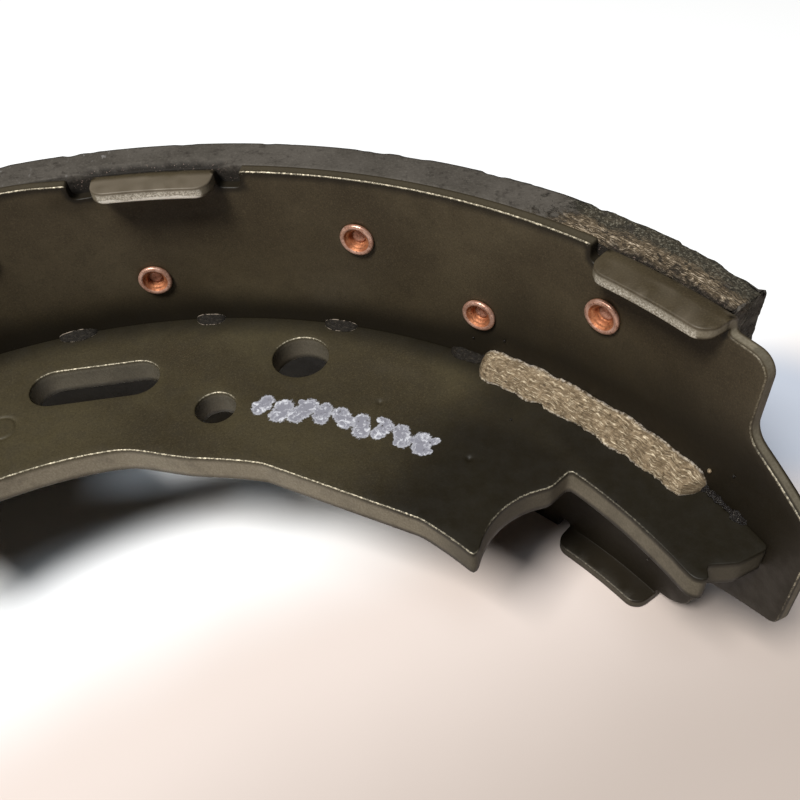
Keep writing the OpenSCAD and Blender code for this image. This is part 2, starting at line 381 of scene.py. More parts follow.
def mesh_piece(name, points, faces, marks, materials, kinds=None):
    """Makes a mesh object from points of shoe space, with named values or vectors on its points."""
    mesh = bpy.data.meshes.new(name)
    mesh.from_pydata(to_frame(points).tolist(), [], faces)
    for key, values in marks.items():
        values = np.asarray(values, np.float32)
        kind, field = ("FLOAT", "value") if values.ndim == 1 else ("FLOAT_VECTOR", "vector")
        mesh.attributes.new(key, kind, "POINT").data.foreach_set(field, values.ravel())
    for material in materials:
        mesh.materials.append(material)
    if kinds is not None:
        mesh.polygons.foreach_set("material_index", np.asarray(kinds, np.int32))
    mesh.update()
    made = bmesh.new()
    made.from_mesh(mesh)
    bmesh.ops.recalc_face_normals(made, faces=made.faces)
    made.to_mesh(mesh)
    made.free()
    mesh.polygons.foreach_set("use_smooth", [True] * len(mesh.polygons))
    piece = bpy.data.objects.new(name, mesh)
    bpy.context.scene.collection.objects.link(piece)
    return piece


def fit_out(piece, node):
    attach(piece, "root")
    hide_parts(node)


# ---------------------------------------------------------------- materials
def add(tree, kind, inputs=None, **fields):
    """Adds a node, sets its fields, and sets or links its inputs."""
    node = tree.nodes.new(kind)
    for key, value in fields.items():
        setattr(node, key, value)
    for key, value in (inputs or {}).items():
        if isinstance(value, bpy.types.NodeSocket):
            tree.links.new(value, node.inputs[key])
        else:
            node.inputs[key].default_value = value
    return node


def shade(colour, factor):
    return tuple(c * factor for c in colour)


def rgba(colour):
    """Four numbers of a colour, or its socket as it is."""
    return (*colour, 1) if isinstance(colour, tuple) else colour


class Finish:
    """A material being built from nodes, with coordinates in millimetres."""

    def __init__(self, name):
        self.material = bpy.data.materials.new(name)
        self.material.use_nodes = True
        self.tree = self.material.node_tree
        self.tree.nodes.clear()
        place = add(self.tree, "ShaderNodeTexCoord").outputs["Object"]
        scaled = add(self.tree, "ShaderNodeVectorMath", {0: place, "Scale": 1000.0}, operation="SCALE")
        self.place = scaled.outputs[0]

    def mark(self, name, vector=False):
        node = add(self.tree, "ShaderNodeAttribute", attribute_name=name)
        return node.outputs["Vector" if vector else "Fac"]

    def stretched(self, vector, scale):
        return add(self.tree, "ShaderNodeMapping", {"Vector": vector, "Scale": scale}).outputs[0]

    def noise(self, size, detail=4.0, rough=0.6, at=None, distortion=0.0):
        values = {"Vector": at or self.place, "Scale": 1.0 / size, "Detail": detail}
        values.update(Roughness=rough, Distortion=distortion)
        return add(self.tree, "ShaderNodeTexNoise", values).outputs["Fac"]

    def math(self, operation, a, b=0.0, c=0.0):
        return add(self.tree, "ShaderNodeMath", {0: a, 1: b, 2: c}, operation=operation).outputs[0]

    def times(self, a, b):
        return self.math("MULTIPLY", a, b)

    def plus(self, a, b):
        return self.math("ADD", a, b)

    def most(self, a, b):
        return self.math("MAXIMUM", a, b)

    def scaled(self, value, factor, offset):
        return self.math("MULTIPLY_ADD", value, factor, offset)

    def axes(self, vector):
        return add(self.tree, "ShaderNodeSeparateXYZ", {0: vector}).outputs

    def between(self, value, low, high, to_low=0.0, to_high=1.0):
        """Eased step of a value from low to high."""
        values = {"Value": value, "From Min": low, "From Max": high, "To Min": to_low, "To Max": to_high}
        node = add(self.tree, "ShaderNodeMapRange", values, interpolation_type="SMOOTHSTEP")
        return node.outputs[0]

    def blend(self, share, a, b):
        """Colour between a and b."""
        values = {0: share, 6: rgba(a), 7: rgba(b)}
        return add(self.tree, "ShaderNodeMix", values, data_type="RGBA").outputs[2]

    def tint(self, colour, over, value, low, high, most=1.0):
        """Lays a second colour over a first as a value goes from low to high."""
        return self.blend(self.between(value, low, high, 0.0, most), colour, over)

    def bump(self, height, distance, strength):
        """distance is in millimetres."""
        values = {"Height": height, "Distance": distance * MM, "Strength": strength}
        return add(self.tree, "ShaderNodeBump", values).outputs[0]

    def surface(self, colour, roughness, metallic, normal, **fixed):
        values = {"Base Color": rgba(colour), "Roughness": roughness, "Metallic": metallic}
        shader = add(self.tree, "ShaderNodeBsdfPrincipled", {**values, "Normal": normal})
        for key, value in fixed.items():
            shader.inputs[key.replace("_", " ")].default_value = value
        out = add(self.tree, "ShaderNodeOutputMaterial")
        self.tree.links.new(shader.outputs[0], out.inputs["Surface"])
        return self.material


def oiled_steel(name, dark, light, painted=False):
    """Dark pressed steel with an oily film, worn bright along its edges and bare on its cut sides, with
    painted shade, a pale painted sheen and painted highlights.
    """
    m = Finish(name)
    patches = m.noise(38.0, 3.0, 0.55, distortion=0.6)
    mottle = m.noise(4.5, 5.0, 0.65)
    fine = m.noise(0.4, 3.0, 0.75)
    colour = m.blend(m.between(patches, 0.3, 0.72), dark, light)
    colour = m.tint(colour, shade(dark, 0.7), mottle, 0.42, 0.72, 0.3)
    colour = m.tint(colour, shade(light, 1.7), fine, 0.5, 0.72, 0.4)
    colour = m.tint(colour, shade(dark, 0.5), fine, 0.48, 0.3, 0.5)
    # Painted light: this mark darkens the steel where shade falls and, below zero, lays on a pale,
    # bluish painted sheen; a little of it is the steel's own mottling.
    painted_light_and_tone = m.mark("painted_light_and_tone")
    colour = m.blend(m.times(m.between(painted_light_and_tone, 0.0, 1.0), 0.9), colour, shade(dark, 0.22))
    pale = tuple(c * k for c, k in zip(light, (1.95, 2.05, 2.6)))
    colour = m.tint(colour, pale, m.times(painted_light_and_tone, -1.0), 0.0, 1.0, 0.85)
    # Cut sides
    streaks = m.noise(0.45, 4.0, 0.7, at=m.stretched(m.mark("flat", True), (1.0, 1.0, 0.7)))
    bare = m.blend(m.between(streaks, 0.3, 0.75), (0.15, 0.129, 0.09), (0.225, 0.197, 0.145))
    bare = m.tint(bare, (0.065, 0.054, 0.038), mottle, 0.45, 0.75, 0.35)
    # Painted shade on the cut sides, such as down inside the holes
    bare = m.tint(bare, (0.024, 0.02, 0.012), painted_light_and_tone, 0.1, 1.0, 0.85)
    wall = m.mark("wall")
    colour = m.blend(wall, colour, bare)
    # Tab ends are sheared bright, with a painted highlight, most of all along their inner edge.
    sheared_and_painted_glint = m.mark("sheared_and_painted_glint")
    speckle = m.noise(0.42, 4.0, 0.85)
    sheared = m.blend(m.between(speckle, 0.4, 0.62), (0.22, 0.19, 0.145), (0.74, 0.7, 0.6))
    colour = m.tint(colour, sheared, sheared_and_painted_glint, 0.0, 0.8)
    colour = m.tint(colour, (0.88, 0.85, 0.77), sheared_and_painted_glint, 0.85, 1.0, 0.8)
    # Worn edges with a painted highlight, broken up by the grain
    edge = m.mark("edge_far")
    wear_and_painted_highlight = m.mark("wear_and_painted_highlight")
    ragged = m.scaled(m.noise(0.5, 3.0, 0.8), 0.7, -0.35)
    worn = m.times(m.between(m.plus(edge, ragged), 0.25, 0.08), wear_and_painted_highlight)
    sparkle = m.between(m.noise(0.8, 4.0, 0.8), 0.42, 0.64)
    colour = m.blend(m.times(worn, m.scaled(sparkle, 0.75, 0.15)), colour, (0.66, 0.59, 0.44))
    scatter = m.between(m.plus(m.noise(0.45, 2.0, 0.8), m.times(edge, -0.14)), 0.6, 0.7)
    scatter = m.times(scatter, wear_and_painted_highlight)
    colour = m.blend(m.times(scatter, 0.4), colour, (0.36, 0.32, 0.24))
    rough = m.between(mottle, 0.3, 0.75, 0.42, 0.6)
    rough = m.most(rough, m.times(wall, 0.6))
    metal = m.scaled(m.most(worn, sheared_and_painted_glint), 0.35, 0.08)
    height = m.scaled(m.noise(0.8, 4.0, 0.7), 1.0, m.times(m.noise(6.0, 2.0), 2.2))
    height = m.plus(height, m.times(m.most(wall, sheared_and_painted_glint), streaks))
    if painted:
        brush = m.plus(m.mark("paint"), m.scaled(m.noise(0.7, 4.0, 0.8), 0.7, -0.35))
        cover = m.between(brush, 0.38, 0.5)
        skips = m.noise(1.7, 4.0, 0.7, distortion=0.8)
        cover = m.times(cover, m.between(skips, 0.29, 0.39))
        heavy = m.times(cover, m.between(brush, 0.66, 0.5))
        heavy = m.most(m.times(heavy, 0.4), m.between(skips, 0.5, 0.64))
        chalk = m.blend(heavy, (0.215, 0.215, 0.25), (0.58, 0.59, 0.63))
        colour = m.blend(m.times(cover, 0.92), colour, chalk)
        rough = m.most(rough, m.times(cover, 0.6))
        metal = m.times(metal, m.math("SUBTRACT", 1.0, cover))
        height = m.plus(height, m.times(cover, 0.8))
    return m.surface(colour, rough, metal, m.bump(height, 0.05, 0.5), Specular_IOR_Level=0.24)


def lining_compound():
    """Moulded friction compound: grey with fine specks, brown and fibrous where it is torn, and nearly
    black with painted shade in its crevices.
    """
    m = Finish("lining_compound")
    flat = m.mark("flat", True)
    torn = m.mark("torn")
    patches = m.noise(16.0, 4.0, 0.6)
    fine = m.noise(0.6, 4.0, 0.75)
    colour = m.blend(m.between(patches, 0.3, 0.7), (0.047, 0.041, 0.033), (0.078, 0.069, 0.058))
    colour = m.tint(colour, (0.125, 0.112, 0.094), fine, 0.45, 0.8, 0.6)
    colour = m.tint(colour, (0.024, 0.02, 0.016), m.noise(2.2, 5.0, 0.7), 0.5, 0.72, 0.75)
    colour = m.tint(colour, (0.022, 0.019, 0.016), m.mark("lip"), 0.2, 0.9, 0.8)
    scratch = m.noise(1.1, 3.0, 0.6, at=m.stretched(flat, (1.0, 1.0, 0.35)))
    scratch = m.times(m.between(scratch, 0.62, 0.7), m.mark("scuffed"))
    colour = m.blend(m.times(scratch, 0.6), colour, (0.22, 0.21, 0.205))
    fibre = m.noise(0.7, 5.0, 0.75, at=m.stretched(flat, (0.3, 1.0, 1.4)), distortion=1.5)
    clumps = m.noise(2.6, 5.0, 0.7, distortion=1.0)
    brown = m.blend(m.between(fibre, 0.36, 0.62), (0.028, 0.02, 0.012), (0.2, 0.148, 0.09))
    deep = m.axes(flat)["Z"]
    ragged = m.scaled(clumps, 5.0, -2.5)
    inner = m.between(m.plus(deep, ragged), 5.2, 2.2)
    straws = m.times(m.between(fibre, 0.52, 0.64), m.scaled(inner, 0.75, 0.25))
    brown = m.blend(straws, brown, (0.58, 0.48, 0.36))
    brown = m.tint(brown, (0.018, 0.014, 0.01), clumps, 0.5, 0.64, 0.9)
    outer = m.times(m.between(m.plus(deep, ragged), 3.4, 6.2), 0.85)
    sooty = m.blend(m.between(fine, 0.5, 0.64), (0.026, 0.024, 0.017), (0.185, 0.172, 0.132))
    brown = m.blend(outer, brown, sooty)
    share = m.between(m.plus(torn, m.scaled(clumps, 1.1, -0.55)), 0.3, 0.56)
    colour = m.blend(share, colour, brown)
    crack = m.mark("crevice_and_painted_shade")
    pale = m.between(m.noise(0.5, 3.0, 0.8), 0.62, 0.7)
    # Painted shade in the crevices, with pale crumbs in it
    colour = m.blend(m.times(crack, 0.9), colour, (0.01, 0.008, 0.006))
    colour = m.blend(m.times(m.times(crack, pale), 0.7), colour, (0.5, 0.36, 0.3))
    height = m.plus(m.times(fine, 0.7), m.times(m.noise(2.2, 5.0, 0.7), 1.2))
    rough_height = m.plus(m.times(fibre, 4.0), m.times(clumps, 3.0))
    height = m.plus(height, m.times(share, rough_height))
    return m.surface(colour, 0.75, 0.0, m.bump(height, 0.16, 0.9), Specular_IOR_Level=0.2)


def copper():
    """Rolled copper rivet end: a pinkish ring around a darker, duller hollow."""
    m = Finish("copper")
    ring = m.mark("rim")
    tarnish = m.noise(1.8, 4.0, 0.65)
    fine = m.noise(0.5, 3.0, 0.7)
    colour = m.blend(m.between(tarnish, 0.35, 0.7), (0.5, 0.27, 0.19), (0.74, 0.47, 0.37))
    inside = m.blend(m.between(tarnish, 0.35, 0.65), (0.3, 0.105, 0.045), (0.52, 0.21, 0.095))
    colour = m.blend(m.between(ring, 0.45, 1.0), inside, colour)
    colour = m.tint(colour, (0.12, 0.042, 0.022), fine, 0.54, 0.66, 0.75)
    rough = m.plus(m.between(fine, 0.3, 0.8, 0.32, 0.5), m.between(ring, 0.98, 0.9, 0.0, 0.22))
    return m.surface(colour, rough, 0.6, m.bump(fine, 0.06, 1.0))


def weld_metal():
    """Pale tan weld metal, combed along its length, with painted shade along its toes."""
    m = Finish("weld_metal")
    flat = m.mark("flat", True)
    bent = m.times(m.noise(3.0, 2.0, 0.5, at=flat), 2.0)
    axes = m.axes(flat)
    along = m.scaled(axes["Y"], 0.5, axes["X"])
    combed = add(m.tree, "ShaderNodeCombineXYZ", {"X": along, "Y": m.plus(axes["Y"], bent)})
    fibre = m.noise(0.42, 5.0, 0.8, at=m.stretched(combed.outputs[0], (0.16, 1.0, 1.0)), distortion=0.5)
    clumps = m.noise(2.6, 5.0, 0.7)
    colour = m.blend(m.between(clumps, 0.36, 0.62), (0.27, 0.2, 0.122), (0.165, 0.118, 0.068))
    colour = m.tint(colour, (0.06, 0.04, 0.022), fibre, 0.49, 0.38, 0.85)
    colour = m.tint(colour, (0.74, 0.63, 0.45), fibre, 0.53, 0.63, 0.85)
    rim = m.mark("rim")
    edge = m.times(m.between(rim, 0.35, 0.9), m.between(m.noise(0.9, 3.0, 0.8), 0.45, 0.55))
    colour = m.blend(m.times(edge, 0.45), colour, (0.66, 0.61, 0.54))
    # Painted shade along the toes, broken up by the grain
    edge = m.times(m.between(rim, 0.2, 0.9), m.between(m.noise(0.9, 3.0, 0.8), 0.5, 0.4))
    colour = m.blend(m.times(edge, 0.7), colour, (0.03, 0.022, 0.014))
    height = m.scaled(fibre, 2.0, m.times(clumps, 1.4))
    return m.surface(colour, 0.55, 0.25, m.bump(height, 0.22, 0.9), Specular_IOR_Level=0.3)


def weld_slag():
    """Dark glassy crust with pale specks painted on as glints, at the bead's ends and in its spatter."""
    m = Finish("weld_slag")
    crust = m.noise(0.4, 5.0, 0.8)
    # Painted glints: pale specks on the dark crust
    colour = m.blend(m.between(crust, 0.62, 0.68), (0.008, 0.006, 0.005), (0.38, 0.34, 0.28))
    rough = m.between(crust, 0.35, 0.7, 0.25, 0.5)
    return m.surface(colour, rough, 0.0, m.bump(crust, 0.35, 1.0), Specular_IOR_Level=0.25)


def spot_metal():
    """Spot weld nugget: a burnt skin with a pale, broken outline."""
    m = Finish("spot_metal")
    fibre = m.noise(0.6, 5.0, 0.8, at=m.stretched(m.mark("flat", True), (0.6, 1.0, 1.0)), distortion=0.6)
    colour = m.blend(m.between(fibre, 0.5, 0.66), (0.01, 0.008, 0.006), (0.036, 0.03, 0.022))
    rim = m.mark("rim")
    outline = m.times(m.between(rim, 0.45, 0.75), m.between(m.noise(1.6, 3.0, 0.7), 0.44, 0.56))
    colour = m.blend(m.times(outline, 0.85), colour, (0.34, 0.28, 0.22))
    return m.surface(colour, 0.6, 0.0, m.bump(fibre, 0.3, 1.0), Specular_IOR_Level=0.12)


WEB_STEEL = oiled_steel("web_steel", (0.034, 0.0265, 0.014), (0.056, 0.0455, 0.0235), painted=True)
TABLE_STEEL = oiled_steel("table_steel", (0.042, 0.0315, 0.0175), (0.07, 0.055, 0.0315))
LINING = lining_compound()
COPPER = copper()
WELD = weld_metal()
SLAG = weld_slag()
SPOT = spot_metal()


# ---------------------------------------------------------------- web plate
def cad_loops(node, z_mm):
    """Outlines, in shoe space, of a CAD node's flat faces at a height."""
    made = bmesh.new()
    made.from_mesh(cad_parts[node].data)
    bmesh.ops.remove_doubles(made, verts=made.verts, dist=1e-6)

    def is_flat(face):
        return all(abs(v.co.z / MM - z_mm) < 0.02 for v in face.verts)

    onward = {}
    for f in filter(is_flat, made.faces):
        for loop in f.loops:
            if sum(is_flat(g) for g in loop.edge.link_faces) == 1:
                onward[loop.vert.index] = loop.link_loop_next.vert.index
    made.verts.ensure_lookup_table()
    loops = []
    while onward:
        here = next(iter(onward))
        ring = []
        while here in onward:
            ring.append(made.verts[here].co.to_2d() / MM - Vector((0, AXIS_Y)))
            here = onward.pop(here)
        # Always the same start, whatever order the CAD's faces are in
        first = int(np.argmin(np.array(ring) @ (1.0, 0.37)))
        loops.append(np.roll(ring, -first, 0))
    made.free()
    return sorted(loops, key=lambda l: -abs(loop_area(l)))


def paint_strokes():
    """Irregular dabs of a paint pen that nearly touch, in a band along the web: each the radius
    and angle of both its ends, and its half width."""
    strokes = []
    for deg in np.linspace(*PAINT_DEGS, PAINT_DABS):
        mid = PAINT_R + dice.uniform(-0.9, 0.9)
        reach = dice.uniform(0.9, 2.3)
        lean = dice.uniform(-0.7, 0.7)
        strokes.append((mid - reach, deg - lean, mid + reach, deg + lean, dice.uniform(1.7, 2.5)))
        for _ in range(3):
            r, at = mid + dice.uniform(-2.8, 2.8), deg + dice.uniform(-1.1, 1.1)
            r_end, at_end = r + dice.uniform(-1.6, 1.6), at + dice.uniform(-1, 1)
            strokes.append((r, at, r_end, at_end, dice.uniform(0.6, 1.1)))
    return strokes


def paint_cover(points):
    cover = np.zeros(len(points))
    for r0, deg0, r1, deg1, half in paint_strokes():
        a, b = on_arc(r0, deg0), on_arc(r1, deg1)
        t = np.clip((points - a) @ (b - a) / ((b - a) @ (b - a)), 0, 1)
        away = np.linalg.norm(points - (a + t[:, None] * (b - a)), axis=1)
        cover = np.maximum(cover, 1.0 - away / half * 0.55)
    return np.clip(cover, 0, 1)


def facing_front(xy, loops):
    """1 where the nearest outline's side faces the front, 0 where it faces the back."""
    outline = np.vstack([loop for loop, _ in loops])
    ways = np.vstack([inward(loop) for loop, _ in loops])
    return smoothstep(0.35, 0.95, ways[nearest(xy, outline)[0], 1])


def make_web():
    # The stamp's rings are only as deep as its groove, so they are left out of the outlines.
    loops = [l for l in cad_loops("web_plate", MID_Z + WEB_FACE) if abs(loop_area(l)) > STAMP_AREA]
    profile = edge_profile(WEB_T, 0.35, 4, 5)
    shaped = []
    for i, loop in enumerate(loops):
        loop = soften(resample(turned(loop, i == 0), 0.35), 2.2)
        if i == 0:
            # The inner edge swings smoothly from the narrow half to the deep half.
            r, deg = polar(loop)
            near = smoothstep(13, 8, np.abs(deg)) * (r < 110)
            loop = loop + (soften(loop, 8.0) - loop) * near[:, None]
        shaped.append((resample(loop, 0.9), profile))
    dense = [(*on_arc(PAINT_R, deg), 5.2, 0.42) for deg in np.arange(10, 34, 3.4)]
    dense.append((*on_arc(*STAMP), 6.0, 0.4))
    dense += [(*on_arc(*dint), 1.6, 0.4) for dint in DINTS]
    flat, faces, edge_far, wall = plate(shaped, 2.4, dense)
    xy, depth = flat[:, :2], flat[:, 2]
    points = np.column_stack([xy, WEB_FACE - depth])
    on_top = depth < 0.01
    groove = hump(np.linalg.norm(xy - on_arc(*STAMP), axis=1), STAMP_R, 0.45) * on_top
    points[:, 2] -= STAMP_DEPTH * groove
    for dint in DINTS:
        away = np.linalg.norm(xy - on_arc(*dint), axis=1)
        points[:, 2] -= DINT_DEPTH * hump(away, 0, DINT_R) * on_top
    r, deg = polar(xy)
    off = np.abs(deg)
    # Painted light: the web is painted darker in the hooks, at the ends, towards the right end, beside
    # the bead and near the table, and paler in a painted sheen patch; only the grain added below is its
    # own mottling.
    painted_hook_shade = smoothstep(24, 44, off) * smoothstep(137, 122, r)
    end = smoothstep(40, 56, off)
    painted_sheen_patch = hump(deg, 25, 8) * hump(r, 134, 6)
    right = smoothstep(14, 44, deg) * 0.26
    painted_shade_by_bead = hump(r, 137, 5) * smoothstep(30, 36, deg) * 0.4
    near = 0.16 + smoothstep(137, 147, r) * 0.65
    painted_light_and_tone = np.maximum(painted_hook_shade * 0.75, end * 0.65) + near + painted_shade_by_bead + right - painted_sheen_patch * 0.45
    painted_light_and_tone = np.where(wall > 0, np.minimum(painted_light_and_tone, 0.3), painted_light_and_tone)
    # Painted shade: the cut sides of the hooks are painted darker, most of all in the pockets.
    painted_pocket_shade = 0.58 + 0.2 * smoothstep(128, 122, r) - painted_light_and_tone
    painted_light_and_tone = painted_light_and_tone + painted_pocket_shade * wall * smoothstep(36, 47, off)
    # Painted shade on the nose's cut sides and down inside the holes
    painted_light_and_tone = np.where((wall > 0) & (off > 61) & (r > 130.5), 0.9, painted_light_and_tone)
    in_hole = distance(xy, np.vstack([loop for loop, _ in shaped[1:]])) < 0.6
    painted_light_and_tone = np.where(in_hole & (depth > 0.4), 0.7, painted_light_and_tone)
    # Both ends are hardly worn at all past the hooks.
    worn = np.where(depth < WEB_T / 2, 1.0, 0.35) * (1 - 0.45 * end) * smoothstep(61, 57, off)
    marks = {
        "flat": flat,
        "edge_far": edge_far,
        "wall": wall,
        "painted_light_and_tone": painted_light_and_tone + 0.14 * grain(points, 9, 3),
        # Painted highlight: the wear is kept only on edges that face the front, towards the lamp
        "wear_and_painted_highlight": facing_front(xy, shaped) * worn * (groove < 0.5),
        "paint": np.where(on_top, paint_cover(xy), 0),
        "sheared_and_painted_glint": np.zeros(len(points)),
    }
    piece = mesh_piece("web_plate_pressing", points, faces, marks, [WEB_STEEL])
    fit_out(piece, "web_plate")


# ---------------------------------------------------------------- table
def table_blank():
    """Outline of the table's sheet before it is bent, with its length measured on the inner face.
    The tabs' flanges stand beyond the width as straight sheet."""
    side = []
    for deg, length, relief in TABS:
        half = length / 2 / TABLE_OUT * TABLE_IN
        gap = relief / TABLE_OUT * TABLE_IN
        low, high = deg * TABLE_ARC - half, deg * TABLE_ARC + half
        # Beyond an outer tab the edge is trimmed right to the table's end.
        if deg > -1:
            side += [(low - gap, HALF_W, 0.5), (low - gap, RELIEF_Z, 1.4)]
        side += [(low, RELIEF_Z, 1.0), (low, TAB_END, TAB_CORNER_R)]
        side += [(high, TAB_END, TAB_CORNER_R), (high, RELIEF_Z, 1.0)]
        if deg < 1:
            side += [(high + gap, RELIEF_Z, 1.4), (high + gap, HALF_W, 0.5)]
    end = TABLE_DEG * TABLE_ARC
    tongue = [(end, TONGUE_ROOT, 6.0), (TONGUE_DEG * TABLE_ARC, TONGUE_TIP, TONGUE_CORNER_R)]
    right = [(end, RELIEF_Z, UPPER_CORNER_R)] + tongue
    right += [(x, -y, r) for x, y, r in reversed(tongue)] + [(end, -RELIEF_Z, LOWER_CORNER_R)]
    low = [(x, -y, r) for x, y, r in reversed(side)]
    left = [(-x, y, r) for x, y, r in reversed(right)]
    return rounded(side + right + low + left)


def in_tabs(deg, spare):
    """True within a tab's length, made longer by spare at both ends."""
    return sum(np.abs(deg - at) * TABLE_ARC < length / 2 + spare for at, length, _ in TABS) > 0


def bend_table(flat):
    """Blank (along, across, depth from the inner face) to shoe space, with the tabs folded in."""
    turn, z, depth = flat[:, 0] / TABLE_IN, flat[:, 1], flat[:, 2]
    deg, up = np.degrees(turn), np.abs(z)
    past = np.where(in_tabs(deg, 0.4), np.maximum(up - FOLD_FROM, 0), 0)
    angle = np.minimum(past / FOLD_MID, math.pi / 2)
    straight = np.maximum(past - FOLD_LEN, 0)
    out = FOLD_R - TABLE_T + depth
    r = np.where(past > 0, TABLE_OUT - FOLD_R + out * np.cos(angle) - straight, TABLE_IN + depth)
    height = np.where(past > 0, FOLD_FROM + out * np.sin(angle), up)
    # The rim beside the middle notch is knocked inward a little.
    r -= 1.7 * hump(deg, -8.0, 3.2) * smoothstep(40, 50, z) * (deg < -6.1)
    return np.column_stack([r * np.sin(turn), r * np.cos(turn), height * np.sign(z)])


def fold_rows():
    """Close rows of points across each tab's fold."""
    rows = []
    for deg, length, _ in TABS:
        x = math.radians(deg) * TABLE_IN + np.arange(-length / 2 + 1, length / 2 - 0.9, 0.9)
        for up in FOLD_FROM + FOLD_LEN * np.linspace(0, 1, 6):
            rows += [(v, sign * up) for v in x for sign in (1, -1)]
    return np.array(rows)


def make_table():
    outline = resample(table_blank(), 0.8)
    loops = [(turned(outline, True), edge_profile(TABLE_T, 0.4, 4, 4))]
    hole = edge_profile(TABLE_T, 0.1, 2, 2)
    for _, deg, z in rivet_places():
        loops.append((circle_loop((math.radians(deg) * TABLE_IN, z), SHANK_R + 0.05, 24), hole))
    flat, faces, edge_far, wall = plate(loops, 2.3, rows=fold_rows())
    points = bend_table(flat)
    deg = np.degrees(flat[:, 0] / TABLE_IN)
    off = np.abs(deg)
    within = in_tabs(deg, -0.5)
    across, depth = np.abs(flat[:, 1]), flat[:, 2]
    z = points[:, 2]
    up = np.abs(z)
    tab = across > HALF_W + 0.3
    tab_end = across > TAB_END - 0.5
    middle = off < 10
    low = z < -WEB_FACE
    rim = (across > HALF_W - 0.6) & (across < HALF_W + 0.3)
    notch = (across < HALF_W - 0.2) & (across > RELIEF_Z - 0.9) & (off < 55)
    notch &= (edge_far < 0.7) | (wall > 0)
    # Painted light: the table is painted darker near the web, beside the bead, away from the crown,
    # towards its ends, on its lower half and lower tabs, in the notches, on the rim between tabs, on its
    # end walls and in the middle tab's fold, and paler with a painted sheen on the upper tabs; only the
    # grain is the steel's own mottling.
    painted_shade_near_web = smoothstep(19, 4, up)
    sides = smoothstep(8, 46, off) * smoothstep(44, 20, up) * 0.15
    painted_shade_by_bead = smoothstep(36, 14, up) * smoothstep(27, 36, off) * 0.55
    painted_shade_far_end = smoothstep(42, 54, off) * 0.25
    painted_light_and_tone = painted_shade_near_web + painted_shade_by_bead + painted_shade_far_end + sides + 0.14 * grain(points, 14, 5) + 0.8 * low
    painted_light_and_tone = np.where(notch, 1.0, np.where(rim & ~within, 0.5, painted_light_and_tone))
    painted_light_and_tone = np.where((wall > 0) & (off > 57), 0.6, painted_light_and_tone)
    tab_painted_sheen_and_tone = np.where(middle, -0.75, -0.3) + 0.4 * grain(points, 2.5, 8)
    painted_light_and_tone = np.where(tab, np.where(low, 1.0, tab_painted_sheen_and_tone), painted_light_and_tone)
    fold = (across > FOLD_FROM - 0.2) & (across < FOLD_FROM + 2.2) & (depth > TABLE_T / 2)
    fold_painted_shade_and_tone = np.where(middle, 0.5, 0.0) + 0.8 * grain(points, 2.0, 6)
    painted_light_and_tone = np.where(fold & within, fold_painted_shade_and_tone, painted_light_and_tone)
    # The tabs' ends are painted brightest along their inner edge, a painted highlight on the sheared
    # steel.
    lit_end = tab_end * np.interp(depth, (0.4, 1.4, TABLE_T), (1.0, 0.72, 0.2))
    lit_end = lit_end * (wall + (depth < 0.5) > 0) * (1 + 0.25 * grain(points, 3.0, 7))
    # Only edges that face across the width are worn.
    ways = np.abs(inward(outline)[:, 1])
    square = smoothstep(0.8, 0.97, ways[nearest(flat, outline)[0]])
    worn = np.where(across > HALF_W - 1.5, 1.0, 0.0) * square
    worn = np.where(off > 55.5, 0.25 + 0.4 * (z < 30), worn)
    # The worn edges carry a painted highlight; on the lower side, which lies in shade, it is cut to a
    # quarter.
    worn = worn * np.where(low, 0.25, 1.0) * (depth < TABLE_T / 2) * ~(tab & ~tab_end)
    marks = {
        "flat": flat,
        "edge_far": edge_far,
        "wall": np.where(notch, 0.0, np.where(rim, 0.25 * wall, wall)),
        "painted_light_and_tone": painted_light_and_tone,
        "wear_and_painted_highlight": worn,
        # Painted highlight, strongest on the middle tab; the lower tabs, in shade, keep little of it
        "sheared_and_painted_glint": lit_end * np.where(middle, 1.1, 0.6) * np.where(low, 0.15, 1.0),
    }
    piece = mesh_piece("shoe_table_pressing", points, faces, marks, [TABLE_STEEL])
    fit_out(piece, "shoe_table")


